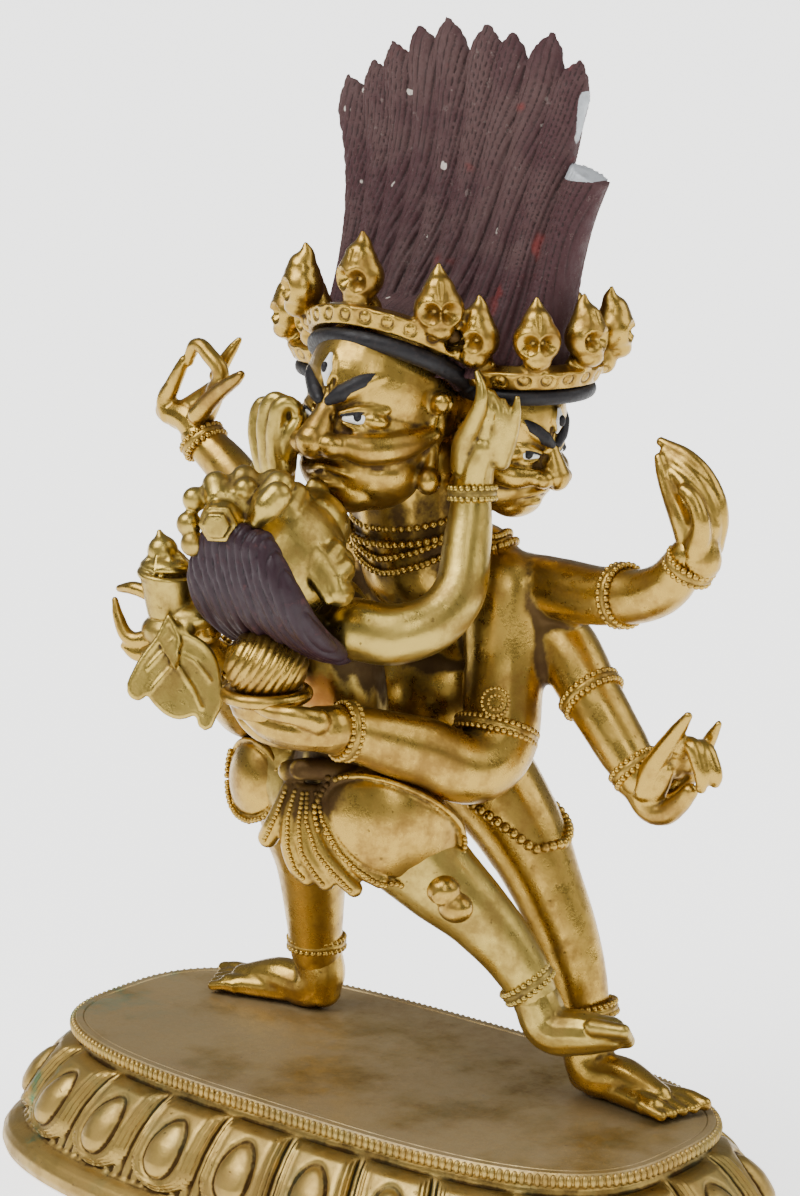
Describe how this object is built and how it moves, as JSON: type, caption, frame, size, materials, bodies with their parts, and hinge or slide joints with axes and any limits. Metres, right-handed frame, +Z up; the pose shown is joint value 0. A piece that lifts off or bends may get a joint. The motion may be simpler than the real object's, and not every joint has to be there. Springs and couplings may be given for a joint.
{
  "type": "hayagriva statue",
  "caption": "Gilt bronze yab-yum group of a many-armed wrathful deity and his consort, standing on an oval lotus base.",
  "frame": {"origin": "centre of the base's flat underside", "axes": "+Z up, +X to the deity's left along the base's long side, -Y to the front where the main face looks"},
  "size_m": [0.128, 0.0752, 0.1712],
  "materials": {
    "worn_gilt": "worn satin gilding, brown in the recesses",
    "gilt_bronze": "burnished fire gilding with brown patina",
    "pale_gilt": "paler, slightly greenish gilding",
    "hair_paint": "matt dusty mauve-brown paint",
    "dark_paint": "black paint on brows, pupils and hair rolls",
    "white_paint": "white paint of the eyes"
  },
  "bodies": {
    "root": {"lotus_base": "worn_gilt", "deity": "gilt_bronze", "consort": "pale_gilt"}
  },
  "joints": []
}
